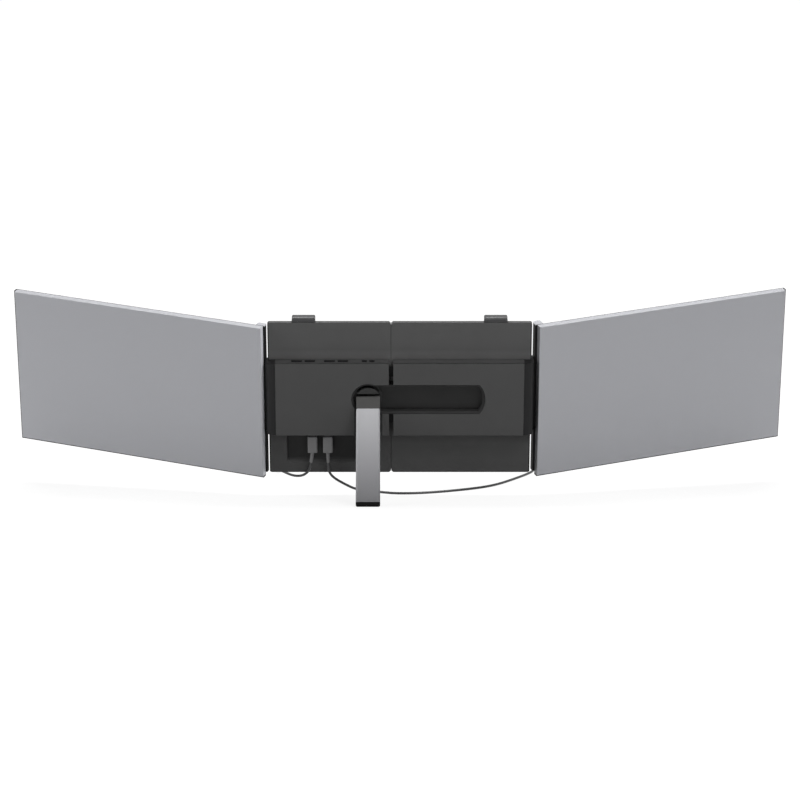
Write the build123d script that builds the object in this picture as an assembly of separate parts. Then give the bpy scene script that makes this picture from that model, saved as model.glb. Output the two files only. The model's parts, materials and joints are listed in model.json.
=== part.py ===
from build123d import *
import os
from math import pi, radians, sqrt, tan

# Laptop screen extender: a plate that hangs on the back of a laptop lid, with a screen
# hinged at each end, a kickstand, two spring clips, keys and two USB-C cables.
#
# Pieces are drawn in the plate's own frame, in millimetres: X to the right as seen from
# behind, Y forward to the lid (Y = 0 is the plate's front face), Z up along the plate
# (Z = 0 is its bottom edge). LEAN then tips everything back about X, so that the stand's
# foot and the loose cables rest on one level table. Cord routes are given after the lean.

# ---- Plate ----------------------------------------------------------------------------
LEAN = 16.5              # backward lean of the plate, degrees
PLATE_HALF = 154.4       # centre line to the outer edge of the plate
PLATE_TALL = 194.4
PLATE_THICK = 5.0
PLATE_CORNER = 2.4
SEAM_X = -10.1           # where the two halves meet
SEAM_GAP = 0.4
SEAM_NOTCH = 2.2         # chamfer at each end of the seam
TONGUE_REACH = 0.6       # left half's seam tongue, inside the right half's edge
TONGUE_THICK = 0.8
SKIN = 1.2               # rear skin and front cover sheet
RIM_WALL = 1.8
FIT_GAP = 0.2            # between pieces that are assembled and stay put
MOVE_GAP = 0.35          # between pieces that move past each other

# ---- Housing --------------------------------------------------------------------------
HOUSING_INSET = 8.6      # its ends stand in from the plate's
HOUSING_HALF = PLATE_HALF - HOUSING_INSET
HOUSING_LOW = 54.5
HOUSING_HIGH = 147.5
HOUSING_DEEP = 13.0      # how far it stands proud of the plate's rear face
HOUSING_WALL = 1.6
HOUSING_EDGE = 0.4       # rounding of its rear edges
GROOVE_HALF = 2.6        # half width of the groove at the seam
HOUSING_TIE = 2.0        # strip under the stand's passage that joins the left housing
HOUSING_TIE_TALL = 4.0
TOP_LINE_WIDE = 2.0      # shadow line along the rear edge of the housing's top
TOP_LINE_DEEP = 0.7

# ---- Kickstand ------------------------------------------------------------------------
STAND_X = -37.0          # swivel axis
STAND_RISE = 0.4         # swivel axis above the housing's middle
STAND_Z = (HOUSING_LOW + HOUSING_HIGH) / 2 + STAND_RISE
STAND_OPEN = 37.0        # tilt of the leg at rest, degrees out from the plate
SEAT_R = 19.7            # outer rim of the recess
SLOT_HALF = 18.35        # outer half height of the recess
SLOT_END_X = 100.2       # right end of its rim
SLOT_END_R = 29.0        # curve of that end
FLOOR_END_X = 96.2       # right end of its floor, where the finger scoop starts
TRAY_WALL = 2.3
TRAY_BEVEL = 2.1
TRAY_FLOOR = 1.0
FLOOR_HEIGHT = 3.6       # recess floor above the plate's rear face
CHANNEL_HALF = 14.9      # half width of the passage for the lowered leg
CHANNEL_WALL = 1.4
DISC_R = 14.4            # raised half moon of the turntable
DISC_BASE_R = 17.0
DISC_BASE_THICK = 1.1
DISC_TOP = 12.2          # half moon's face above the plate's rear face
DISC_CHORD = 6.6         # half moon starts this far above the tilt axis
SPIGOT_R = 6.0
SPIGOT_GAP = 0.1
CLIP_RING_R = 8.2
LEG_WIDE = 27.8
LEG_FOOT_WIDE = 28.6     # the leg widens a little towards its foot
LEG_THICK = 6.5
LEG_CENTRE = 8.65        # its mid plane above the plate's rear face, when closed
LEG_LONG = 129.5         # tilt axis to the foot's end
LEG_WALL = 1.6
LEG_BEVEL = 1.6
KNUCKLE_LONG = 13.2
KNUCKLE_SKIN = 0.8
KNUCKLE_TONGUE = 12.0
FOOT_LONG = 5.0
FOOT_ROUND = 2.6
FOOT_CORNER = 2.5
LUG_HALF = 8.0
LUG_R = 2.2
TILT_PIN_R = 1.1
PIN_GAP = 0.05           # running fit on a pin, on the radius

# ---- Slide between the halves -----------------------------------------------------------
RAIL_INSET = (18.5, 15.3)        # from the housing's lower and upper edges
RAIL_LOW_Z = HOUSING_LOW + RAIL_INSET[0]
RAIL_HIGH_Z = HOUSING_HIGH - RAIL_INSET[1]
RAIL_TALL = 12.0
RAIL_THICK = 1.8
RAIL_LIFT = 0.4          # rails above the rear skin
GUIDE_WALL = 2.0
GUIDE_LIP = 1.0
GUIDE_REACH = 2.0        # lips over the rails' edges
GUIDE_INSET = 3.8        # from the housing's left end
GUIDE_LEFT = -(HOUSING_HALF - GUIDE_INSET)
RAIL_END_GAP = 3.0
RAIL_LEFT = GUIDE_LEFT + RAIL_END_GAP
RAIL_SHORT = 20.8        # from the housing's right end
RAIL_RIGHT = HOUSING_HALF - RAIL_SHORT
RAIL_SCREWS = (SEAM_X + 20.0, 60.0, RAIL_RIGHT - 12.0)
RAIL_SCREW_R = 1.6
RAIL_FOOT_HALF = (6.0, 4.0)     # the right plate's pads under the rails, along X and Z

# ---- Screens ----------------------------------------------------------------------------
SCREEN_WIDE = 318.5
SCREEN_LOW = -3.5        # bottom edge of a screen, below the plate's
SCREEN_DROP = 3.3        # top edge of a screen, below the plate's
SCREEN_THICK = 9.0
SCREEN_OPEN = 20.0       # forward swing of each screen at rest, degrees
SCREEN_INSET = {"left": 3.8, "right": 2.5}     # inner edge past the hinge axis, to the plate
RIM_SHOW = 2.0           # dark rim seen beside the silver back
RIM_STEP = 2.4           # silver back above that rim
COVER_WALL = 1.2
COVER_EDGE = 0.7
BEZEL_THICK = 0.8
BEZEL_WIDE = 4.2
CHIN_TALL = 12.0
LCD_THICK = 3.6
HINGE_OUT = {"left": 7.1, "right": 5.9}        # hinge axis out from the plate's outer edge
HINGE_Y = {"left": -1.8, "right": 4.7}         # hinge axis from the plate's front face
HINGE_FRONT = {"left": 3.6, "right": 7.0}      # hinge axis ahead of the screen's face
RAIL_INNER = {"left": 5.6, "right": 5.0}       # hinge rail from its axis, towards the plate
RAIL_OUTER = 5.2         # and its other side
RAIL_COVER = 3.4         # hinge rail ahead of the hinge axis
RAIL_ROUND = {"left": 2.0, "right": 5.0}
RAIL_FAR_ROUND = 2.0
HINGE_RAIL_LOW = 1.0
HINGE_RAIL_DROP = 4.2    # its top below the plate's
RAIL_CAP = 1.0           # silver cap on top of it
HINGE_RAIL_HIGH = PLATE_TALL - HINGE_RAIL_DROP
HINGE_PIN_R = 1.2
HINGE_PIN_REACH = 22.5   # pin's length inside each rail
SLEEVE_R = 2.1
SLEEVE_START = 3.0       # from the rail's end at the hinge block
SLEEVE_LONG = 18.0
BLOCK_OUT = 2.8
BLOCK_HALF = PLATE_HALF + BLOCK_OUT      # outer side of the hinge block
BLOCK_BACK = 12.4        # its rear face above the plate's
BLOCK_ROUND = 8.0
BARREL_R = 2.9
ARM_HALF = 2.7
DRIVER_LEFT = 30.0       # driver board from the screen's inner edge
DRIVER_LONG = 180.0
DRIVER_LOW = 5.0         # above the screen's lower edge
DRIVER_TALL = 25.0
DRIVER_CHIPS = (30.0, 80.0, 135.0)   # along the board
DRIVER_CHIP = (12.0, 10.0)

# ---- Top clips --------------------------------------------------------------------------
CLIP_INSET = 42.2
CLIP_X = PLATE_HALF - CLIP_INSET
CLIP_WIDE = 27.4
CLIP_RISE = 5.1          # above the plate's top edge
CLIP_TOP = PLATE_TALL + CLIP_RISE
CLIP_FRONT = 7.5         # front of the lip, ahead of the plate's front face
CLIP_LIP = 2.0
CLIP_LIP_DROP = 2.8      # lip's end below that edge
CLIP_LIP_LOW = PLATE_TALL - CLIP_LIP_DROP
CLIP_ROOF = 2.2
CLIP_ROUND = 4.4         # rear ridge
CLIP_CORNER = 2.6        # upper corners, seen from behind
CLIP_PAD = 0.9
BLADE_WIDE = 18.0
BLADE_THICK = 1.6
BLADE_LOW = 99.0
SPRING_R = 7.0
SPRING_Z = 86.0
SPRING_WIDE = 1.6
SPRING_COIL = 2.6
LID_PAD_THICK = 1.0
LID_PAD_NEAR = 24.0      # from the centre line
LID_PAD_END = 8.4        # from the plate's outer edge
LID_PAD_INSET = (22.0, 34.0)     # from the plate's lower and upper edges
LID_PAD_HALF = 5.0

# ---- Keys -------------------------------------------------------------------------------
KEY_PAIRS = {"left_screen": (-127.0, -114.2, -111.3, -99.0),
             "right_screen": (-88.5, -75.6, -72.7, -60.4),
             "power": (-44.4, -38.2, -35.6, -29.4)}
KEY_DEEP = 4.8
KEY_CENTRE = 5.2         # middle of the keys above the plate's rear face
KEY_GAP = 0.3
KEY_BAR = 2.0
KEY_DROP = 0.8           # rocker's bar below the roof, so that it can tip
KEY_PIVOT_R = 0.8
KEY_BOARD_DROP = 6.7     # its underside below the housing's top
KEY_BOARD_THICK = 1.0
KEY_BOARD_HALF = 2.2     # half its depth
SWITCH_R = 1.6

# ---- Ports ------------------------------------------------------------------------------
RECESS_LEFT = -132.0
RECESS_RIGHT = -53.6
RECESS_LOW = 17.8        # foot of its floor
RECESS_DEEP = 2.8
RECESS_TUCK = 4.0        # how far it runs up under the housing
RECESS_LIP = 5.0         # height of its sloping lower lip
RECESS_CHEEK = 2.0       # width of its sloping ends
RECESS_ROUND = (4.0, 2.5)        # its corners, at the plate's face and at its floor
PORT_X = {"cable_1": -103.2, "cable_2": -85.0}
PORT_CENTRE = 5.0        # port's middle above the plate's rear face
PORT_WIDE = 9.0
PORT_TALL = 3.3
PORT_LONG = 7.5
PORT_WALL = 0.25
BOARD_THICK = 1.4
CHIP_THICK = 1.2
HUB_DROP = 15.7          # hub board's top below the housing's
HUB_CHIPS = ((-112.0, 96.0, 14.0), (-84.0, 92.0, 11.0), (-84.0, 114.0, 8.0))   # x, z, size
PLUG_LOW = 29.3
PLUG_HIGH = 49.8
PLUG_WIDE = 11.4
PLUG_DEEP = 6.4
NECK_WIDE = 9.8          # step of the grip that meets the port
NECK_DEEP = 4.8
NECK_LONG = 4.4
TIP_WIDE = 8.3
TIP_TALL = 2.5
RELIEF_LONG = 13.8
RELIEF_R = (2.3, 1.9)    # at the grip, at the cord
RELIEF_PULL = {"cable_1": 8.0, "cable_2": 0.0}   # how far the cord bends it aside, degrees
TIP_LONG = 11.8          # from the grip, neck included

# ---- Cables, after the lean ---------------------------------------------------------------
CORD_D = 3.0
TABLE_Z = -28.34
CORD_Z = TABLE_Z + CORD_D / 2
CORD_ROUTE = {
    "cable_1": [(-105.12, -14.02, 12.12), (-106.02, -12.20, 5.95), (-110.0, -9.65, -1.1),
                (-117.7, -5.5, -5.9), (-130.8, 2.5, -6.8), (-143.0, 18.0, -5.6),
                (-150.0, 45.0, -8.0), (-153.5, 80.0, -13.0), (-153.0, 115.0, -19.5),
                (-149.0, 148.0, -25.6), (-142.0, 172.0, CORD_Z), (-129.0, 188.0, CORD_Z),
                (-113.0, 194.0, CORD_Z), (-97.0, 194.0, CORD_Z)],
    "cable_2": [(-85.0, -13.99, 12.02), (-85.0, -11.15, 2.43), (-80.5, -7.0, -6.5),
                (-67.5, -3.5, -15.2), (-50.0, 0.0, -24.2), (-22.0, 2.0, CORD_Z),
                (-4.0, -7.5, CORD_Z), (30.0, -3.8, CORD_Z), (72.0, 15.0, CORD_Z),
                (112.0, 43.0, CORD_Z), (141.0, 93.0, CORD_Z), (165.0, 142.0, CORD_Z),
                (168.0, 174.0, CORD_Z), (169.0, 199.0, CORD_Z), (181.0, 211.0, CORD_Z),
                (196.0, 211.0, CORD_Z)]}
COIL_MID_R = {"cable_1": 15.75, "cable_2": 17.5}   # middle of the coil's turns
COIL_COLUMNS = {"cable_1": 3, "cable_2": 2}        # turns side by side, in each layer
COIL_LAYERS = 2
COIL_LEAD = 11.5         # straight stretch of the coil's solid, before and after its turns
COIL_TAIL = 12.0


# ---- Small helpers ------------------------------------------------------------------------
REAR = -PLATE_THICK      # the plate's rear face


def block(x, y, z):
    """A box from its (low, high) pairs."""
    spans = [sorted(pair) for pair in (x, y, z)]
    size = [high - low for low, high in spans]
    middle = [(high + low) / 2 for low, high in spans]
    return Pos(*middle) * Box(*size)


def around(middle, half):
    return (middle - half, middle + half)


def upright(x, y, radius, low, high):
    """A round bar along Z."""
    return Pos(x, y, (low + high) / 2) * Cylinder(radius, high - low)


def crosswise(z, y, radius, left, right):
    """A round bar along X."""
    return Pos((left + right) / 2, y, z) * Rot(0, 90, 0) * Cylinder(radius, right - left)


def through(x, z, radius, back, front):
    """A round bar along Y, square to the plate."""
    return Pos(x, (back + front) / 2, z) * Rot(90, 0, 0) * Cylinder(radius, front - back)


def behind(height):
    """Y of a height above the plate's rear face."""
    return REAR - height


def prism_x(points, left, right):
    """A (y, z) outline carried along X."""
    face = make_face(Polyline(*[(left, y, z) for y, z in points], close=True))
    return extrude(face, amount=right - left, dir=(1, 0, 0))


def prism_y(outline, back, front):
    """An outline in (x, z) carried along Y."""
    plane = Plane(origin=(0, back, 0), x_dir=(1, 0, 0), z_dir=(0, -1, 0))
    return extrude(plane * outline, amount=front - back, dir=(0, 1, 0))


def mirrored(piece, side):
    """Pieces are drawn for the right side; the left one is the mirror image."""
    return piece if side == "right" else mirror(piece, about=Plane.YZ)


# ---- Plate halves -------------------------------------------------------------------------
def half_span(side):
    """X of a half's seam edge and outer edge."""
    if side == "left":
        return SEAM_X - SEAM_GAP / 2, -PLATE_HALF
    return SEAM_X + SEAM_GAP / 2, PLATE_HALF


def pocket_span(side):
    seam, outer = half_span(side)
    inward = 1 if side == "left" else -1
    return seam - inward * RIM_WALL, outer + inward * RIM_WALL


def clip_x(side):
    return -CLIP_X if side == "left" else CLIP_X


def screw_places(side):
    seam, outer = pocket_span(side)
    inset = 5.0
    low, high = sorted((seam, outer))
    return [(x, z) for x in (low + inset, high - inset)
            for z in (RIM_WALL + inset, PLATE_TALL - RIM_WALL - inset)]


def clip_channel(side):
    """Two ribs that guide the clip's blade."""
    middle = clip_x(side)
    ribs = []
    for way in (-1, 1):
        near = middle + way * (BLADE_WIDE / 2 + MOVE_GAP)
        far = near + way * RIM_WALL
        ribs.append(block((near, far), (REAR + SKIN, -SKIN - FIT_GAP),
                          (BLADE_LOW + 6, PLATE_TALL - RIM_WALL)))
    return ribs


def bay_section(y, cheek, lip, corner):
    """The bay's outline at one depth, wider than its floor by a cheek and a lip."""
    low, high = RECESS_LOW - lip, HOUSING_LOW + RECESS_TUCK
    wide = RECESS_RIGHT - RECESS_LEFT + 2 * cheek
    plane = Plane(origin=(0, y, 0), x_dir=(1, 0, 0), z_dir=(0, -1, 0))
    middle = ((RECESS_LEFT + RECESS_RIGHT) / 2, (low + high) / 2)
    return (plane * Pos(*middle) * RectangleRounded(wide, high - low, corner)).face()


def port_recess():
    """The sunk bay below the ports, with sloping ends and a taller sloping lower lip."""
    floor = behind(-RECESS_DEEP)
    wide_round, floor_round = RECESS_ROUND
    return loft([bay_section(REAR, RECESS_CHEEK, RECESS_LIP, wide_round),
                 bay_section(floor, 0, 0, floor_round)])


def port_bay():
    """Shallow cup behind the opening in the rear skin, which makes the bay's floor."""
    around_it = RECESS_CHEEK + RIM_WALL
    cup = block((RECESS_LEFT - around_it, RECESS_RIGHT + around_it),
                (REAR + SKIN, -SKIN - FIT_GAP),
                (RECESS_LOW - RECESS_LIP - RIM_WALL, HOUSING_LOW + RECESS_TUCK + RIM_WALL))
    return cup - port_recess()


def seam_tongue(gap):
    """Tongue that closes the seam; with a gap round it, the groove that it slides into."""
    return block((SEAM_X - SEAM_GAP, SEAM_X + SEAM_GAP / 2 + TONGUE_REACH + gap),
                 around(REAR / 2, TONGUE_THICK / 2 + gap),
                 (SEAM_NOTCH + 1 - gap, PLATE_TALL - SEAM_NOTCH - 1 + gap))


def plate(side):
    seam, outer = half_span(side)
    pocket_seam, pocket_outer = pocket_span(side)
    shell = block((seam, outer), (REAR, 0), (0, PLATE_TALL))
    uprights = shell.edges().filter_by(Axis.Y).group_by(Axis.X)
    outer_edges, seam_edges = (uprights[0], uprights[-1])
    if side == "right":
        outer_edges, seam_edges = seam_edges, outer_edges
    seam_ends = [edge.center() for edge in seam_edges]
    shell = fillet(outer_edges, PLATE_CORNER)
    seam_edges = [edge for edge in shell.edges().filter_by(Axis.Y)
                  if any((edge.center() - end).length < 0.01 for end in seam_ends)]
    shell = chamfer(seam_edges, SEAM_NOTCH)
    shell -= block((pocket_seam, pocket_outer), (REAR + SKIN, 1),
                   (RIM_WALL, PLATE_TALL - RIM_WALL))
    for x, z in screw_places(side):
        shell += through(x, z, 3.0, REAR + SKIN / 2, -SKIN - FIT_GAP)
        shell -= through(x, z, 1.0, REAR + SKIN, 1)
    for rib in clip_channel(side):
        shell += rib
    middle = clip_x(side)
    slot_half = BLADE_WIDE / 2 + MOVE_GAP
    shell -= block(around(middle, slot_half), (blade_back() - MOVE_GAP, blade_front() + MOVE_GAP),
                   (PLATE_TALL - RIM_WALL - 1, PLATE_TALL + 1))
    shell += through(middle, SPRING_Z, SPRING_R - SPRING_COIL - FIT_GAP, REAR + SKIN / 2,
                     -SKIN - FIT_GAP)
    if side == "left":
        shell -= port_recess()
        shell += seam_tongue(0)
    else:
        shell -= seam_tongue(MOVE_GAP)
        for z in (RAIL_LOW_Z, RAIL_HIGH_Z):
            for x in RAIL_SCREWS:
                shell += block(around(x, RAIL_FOOT_HALF[0]), (REAR, behind(RAIL_LIFT)),
                               around(z, RAIL_FOOT_HALF[1]))
    return shell


def front_cover(side):
    """Thin sheet let into the front of a plate half."""
    seam, outer = pocket_span(side)
    inward = 1 if side == "left" else -1
    sheet = block((seam - inward * FIT_GAP, outer + inward * FIT_GAP), (-SKIN, 0),
                  (RIM_WALL + FIT_GAP, PLATE_TALL - RIM_WALL - FIT_GAP))
    sheet = fillet(sheet.edges().filter_by(Axis.Y), 0.8)
    for x, z in screw_places(side):
        sheet -= through(x, z, 1.2, -SKIN - 1, 1)
        sheet -= through(x, z, 2.2, -SKIN / 2, 1)
    return sheet


def cover_screws(side):
    screws = []
    for x, z in screw_places(side):
        head = through(x, z, 2.0, -SKIN / 2, -0.05)
        screws.append(head + through(x, z, 1.0, REAR + SKIN + 0.2, -SKIN / 2))
    return Compound(screws)


def lid_pads(side):
    """Silicone strips that meet the laptop's lid."""
    pads = []
    far = PLATE_HALF - LID_PAD_END
    for z in (LID_PAD_INSET[0], PLATE_TALL - LID_PAD_INSET[1]):
        strip = block((LID_PAD_NEAR, far), (0, LID_PAD_THICK), around(z, LID_PAD_HALF))
        strip = fillet(strip.edges().filter_by(Axis.Y), 3.0)
        pads.append(mirrored(strip, side))
    return Compound(pads)


# ---- Housing ------------------------------------------------------------------------------
def seat_outline(inset):
    """The recess seen from behind, inside its rim: a round seat with a slot to its right."""
    half = SLOT_HALF - inset
    end_radius = SLOT_END_R - inset
    corner = SLOT_END_X - SLOT_END_R + sqrt(end_radius ** 2 - half ** 2)
    low, high = around(STAND_Z, half)
    sides = Polyline((corner, low), (STAND_X, low), (STAND_X, high), (corner, high))
    end = ThreePointArc((corner, high), (SLOT_END_X - inset, STAND_Z), (corner, low))
    seat = Pos(STAND_X, STAND_Z) * Circle(SEAT_R - inset)
    return (seat + make_face(sides + end)).clean()


def channel_box(half, low_height, high_height):
    """The straight passage from the seat down through the housing's lower edge."""
    return block(around(STAND_X, half), (behind(high_height), behind(low_height)),
                 (HOUSING_LOW - 1, STAND_Z))


def housing_span(side):
    if side == "left":
        return -HOUSING_HALF, SEAM_X - GROOVE_HALF
    return SEAM_X + GROOVE_HALF, HOUSING_HALF


def housing_shell(side):
    low_x, high_x = housing_span(side)
    rear = behind(HOUSING_DEEP)
    shell = block((low_x, high_x), (rear, REAR), (HOUSING_LOW, HOUSING_HIGH))
    shell = fillet(shell.faces().sort_by(Axis.Y)[0].edges(), HOUSING_EDGE)
    wall = HOUSING_WALL
    shell -= block((low_x + wall, high_x - wall), (rear + wall, REAR + 1),
                   (HOUSING_LOW + wall, HOUSING_HIGH - wall))
    line_back = rear + HOUSING_EDGE
    shell -= block((low_x - 1, high_x + 1), (line_back, line_back + TOP_LINE_WIDE),
                   (HOUSING_HIGH - TOP_LINE_DEEP, HOUSING_HIGH + 1))
    return shell


def slide_passage(side):
    """Room for the rails through a housing's end wall at the seam."""
    low_x, high_x = housing_span(side)
    end = (high_x - HOUSING_WALL - 1, high_x + 1) if side == "left" else \
        (low_x - 1, low_x + HOUSING_WALL + 1)
    cuts = []
    for z in (RAIL_LOW_Z, RAIL_HIGH_Z):
        cuts.append(block(end, (REAR + 1, behind(RAIL_LIFT + RAIL_THICK + GUIDE_LIP + 0.6)),
                          around(z, RAIL_TALL / 2 + GUIDE_WALL + 1)))
    return cuts


def left_housing():
    shell = housing_shell("left")
    rear = behind(HOUSING_DEEP)
    shell -= prism_y(seat_outline(-FIT_GAP), rear - 1, REAR + 1)
    passage = CHANNEL_HALF + CHANNEL_WALL + FIT_GAP
    shell -= channel_box(passage, -1, HOUSING_DEEP + 1)
    shell += block(around(STAND_X, passage + 1), (REAR, behind(HOUSING_TIE)),
                   (HOUSING_LOW, HOUSING_LOW + HOUSING_TIE_TALL))
    for cut in slide_passage("left"):
        shell -= cut
    for port in PORT_X.values():
        shell -= block(around(port, PORT_WIDE / 2 + 0.3),
                       (behind(PORT_CENTRE + PORT_TALL / 2 + 0.3),
                        behind(PORT_CENTRE - PORT_TALL / 2 - 0.3)),
                       (HOUSING_LOW - 1, HOUSING_LOW + HOUSING_WALL + 1))
    for low, high_in, low_in, high in KEY_PAIRS.values():
        for pad in ((low, high_in), (low_in, high)):
            shell -= block(pad, around(behind(KEY_CENTRE), KEY_DEEP / 2),
                           (HOUSING_HIGH - HOUSING_WALL - 1, HOUSING_HIGH + 1))
    return shell


def right_housing():
    shell = housing_shell("right")
    rear = behind(HOUSING_DEEP)
    skirt = prism_y(seat_outline(-MOVE_GAP - CHANNEL_WALL), rear + HOUSING_EDGE, REAR)
    skirt &= block((SEAM_X + GROOVE_HALF, HOUSING_HALF), (rear, REAR), (HOUSING_LOW, HOUSING_HIGH))
    shell += skirt
    shell -= prism_y(seat_outline(-MOVE_GAP), rear - 1, REAR + 1)
    for cut in slide_passage("right"):
        shell -= cut
    return shell


def kickstand_tray():
    """Recess for the stand, fixed to the left half and reaching into the right one."""
    rear = behind(HOUSING_DEEP)
    under = behind(FLOOR_HEIGHT - TRAY_FLOOR)
    floor = behind(FLOOR_HEIGHT)
    outer = prism_y(seat_outline(0), rear, under)
    outer += block(around(STAND_X, CHANNEL_HALF + CHANNEL_WALL), (rear, under),
                   (HOUSING_LOW, STAND_Z))
    hollow = prism_y(seat_outline(TRAY_WALL), rear - 1, floor)
    hollow -= finger_scoop(floor)
    outer -= hollow
    outer -= tray_bevel(rear)
    outer -= channel_box(CHANNEL_HALF, FLOOR_HEIGHT, HOUSING_DEEP + 1)
    outer -= through(STAND_X, STAND_Z, SPIGOT_R + SPIGOT_GAP, rear, REAR)
    return outer


def tray_bevel(rear):
    """Sloping edge round the mouth of the recess."""
    plane = Plane(origin=(0, rear, 0), x_dir=(1, 0, 0), z_dir=(0, -1, 0))
    mouth = seat_outline(TRAY_WALL - TRAY_BEVEL)
    inner = seat_outline(TRAY_WALL)
    deep = Plane(origin=(0, rear + TRAY_BEVEL, 0), x_dir=(1, 0, 0), z_dir=(0, -1, 0))
    return loft([(plane * mouth).face(), (deep * inner).face()])


def finger_scoop(floor):
    """Ramp that rises from the floor's right end to the rim."""
    top = behind(HOUSING_DEEP - TRAY_BEVEL)
    end = SLOT_END_X - TRAY_WALL + 1
    side = make_face(Polyline((FLOOR_END_X, floor + 1, STAND_Z - SEAT_R),
                              (FLOOR_END_X, floor, STAND_Z - SEAT_R),
                              (end, top, STAND_Z - SEAT_R),
                              (end, floor + 1, STAND_Z - SEAT_R), close=True))
    return extrude(side, amount=2 * SEAT_R, dir=(0, 0, 1))


# ---- Inside the left half -------------------------------------------------------------------
def slide_guides():
    """Two channels that the right half's rails run in.

    The lower channel has no lips under the stand's passage, where the tray comes close.
    """
    guides = []
    right = SEAM_X - 2.0
    lip_height = RAIL_LIFT + RAIL_THICK + MOVE_GAP
    low_rib = behind(FLOOR_HEIGHT - TRAY_FLOOR - FIT_GAP)
    lip_end = {RAIL_LOW_Z: STAND_X - CHANNEL_HALF - CHANNEL_WALL - 1, RAIL_HIGH_Z: right}
    for z in (RAIL_LOW_Z, RAIL_HIGH_Z):
        for way in (-1, 1):
            near = z + way * (RAIL_TALL / 2 + MOVE_GAP)
            outer = near + way * GUIDE_WALL
            rib = block((GUIDE_LEFT, right), (REAR, low_rib), (near, outer))
            rib += block((GUIDE_LEFT, lip_end[z]), (REAR, behind(lip_height + GUIDE_LIP)),
                         (near, outer))
            rib += block((GUIDE_LEFT, lip_end[z]),
                         (behind(lip_height), behind(lip_height + GUIDE_LIP)),
                         (near - way * GUIDE_REACH, outer))
            guides.append(rib)
    return Compound(guides)


def slide_rails():
    rails = []
    for z in (RAIL_LOW_Z, RAIL_HIGH_Z):
        rail = block((RAIL_LEFT, RAIL_RIGHT), (behind(RAIL_LIFT), behind(RAIL_LIFT + RAIL_THICK)),
                     around(z, RAIL_TALL / 2))
        for x in RAIL_SCREWS:
            rail -= through(x, z, RAIL_SCREW_R, behind(RAIL_LIFT + RAIL_THICK + 1), REAR)
        rails.append(rail)
    return Compound(rails)


def board_heights():
    near = PORT_CENTRE + PORT_TALL / 2
    return near, near + BOARD_THICK


def hub_board():
    """Circuit board over the slide guides, with its larger chips."""
    near, far = board_heights()
    board = block((GUIDE_LEFT + 4, STAND_X - SEAT_R - 0.6),
                  (behind(near), behind(far)),
                  (HOUSING_LOW + HOUSING_WALL + 0.4, HOUSING_HIGH - HUB_DROP))
    for x, z, size in HUB_CHIPS:
        board += block(around(x, size / 2), (behind(far), behind(far + CHIP_THICK)),
                       around(z, size / 2))
    return board


def usb_c_ports():
    near, far = board_heights()
    low = HOUSING_LOW + HOUSING_WALL + 0.5
    ports = []
    for x in PORT_X.values():
        shell = block(around(x, PORT_WIDE / 2), around(behind(PORT_CENTRE), PORT_TALL / 2),
                      (low, low + PORT_LONG))
        shell = fillet(shell.edges().filter_by(Axis.Z), PORT_TALL / 2 - 0.1)
        shell -= block(around(x, PORT_WIDE / 2 - PORT_WALL),
                       around(behind(PORT_CENTRE), PORT_TALL / 2 - PORT_WALL),
                       (low - 1, low + PORT_LONG - 1))
        ports.append(shell)
    return Compound(ports)


def key_board():
    """Strip of circuit board with a switch under each end of each rocker."""
    left = KEY_PAIRS["left_screen"][0]
    right = KEY_PAIRS["power"][3]
    bottom = HOUSING_HIGH - KEY_BOARD_DROP
    strip = block((left, right), around(behind(KEY_CENTRE), KEY_BOARD_HALF),
                  (bottom, bottom + KEY_BOARD_THICK))
    top = HOUSING_HIGH - HOUSING_WALL - KEY_DROP - KEY_BAR - KEY_GAP
    for low, high_in, low_in, high in KEY_PAIRS.values():
        for x in ((low + high_in) / 2, (low_in + high) / 2):
            strip += upright(x, behind(KEY_CENTRE), SWITCH_R, bottom, top - 0.4)
    return strip


def rocker(name):
    """One bar under the roof with a key pad through each slot, on a round pivot."""
    low, high_in, low_in, high = KEY_PAIRS[name]
    roof = HOUSING_HIGH - HOUSING_WALL
    bar_top = roof - KEY_DROP
    bar = block((low + KEY_GAP, high - KEY_GAP), around(behind(KEY_CENTRE), KEY_DEEP / 2 + 0.8),
                (bar_top - KEY_BAR, bar_top))
    for pad in ((low, high_in), (low_in, high)):
        key = block((pad[0] + KEY_GAP, pad[1] - KEY_GAP),
                    around(behind(KEY_CENTRE), KEY_DEEP / 2 - KEY_GAP),
                    (bar_top, HOUSING_HIGH + 0.1))
        bar += fillet(key.edges().filter_by(Axis.Z), 0.4)
    pivot = around(behind(KEY_CENTRE), KEY_DEEP / 2 + 1.6)
    return bar + through((low + high) / 2, bar_top - KEY_BAR / 2, KEY_PIVOT_R, *pivot)


# ---- Hinges and screens ---------------------------------------------------------------------
def hinge_x(side):
    """Hinge axis from the centre line."""
    return PLATE_HALF + HINGE_OUT[side]


def hinge_block(side):
    """Block at the housing's end, with the arm and barrel that hold the hinge pin."""
    axis_x, axis_y = hinge_x(side), HINGE_Y[side]
    low, high = (HOUSING_LOW + 0.4, HOUSING_HIGH - 0.4)
    rear = behind(BLOCK_BACK)
    body = block((HOUSING_HALF + 0.1, BLOCK_HALF), (rear, REAR), (low, high))
    corner = body.edges().filter_by(Axis.Z).sort_by(lambda edge: edge.center().X - edge.center().Y)
    body = fillet(corner[-1], BLOCK_ROUND)
    post = block((PLATE_HALF + FIT_GAP, BLOCK_HALF), (REAR - 1, axis_y + ARM_HALF), (low, high))
    arm = block((PLATE_HALF + FIT_GAP, axis_x), around(axis_y, ARM_HALF), (low, high))
    barrel = upright(axis_x, axis_y, BARREL_R, low, high)
    block_all = body + post + arm + barrel
    block_all -= upright(axis_x, axis_y, HINGE_PIN_R, low - 1, high + 1)
    return mirrored(block_all, side)


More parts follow.
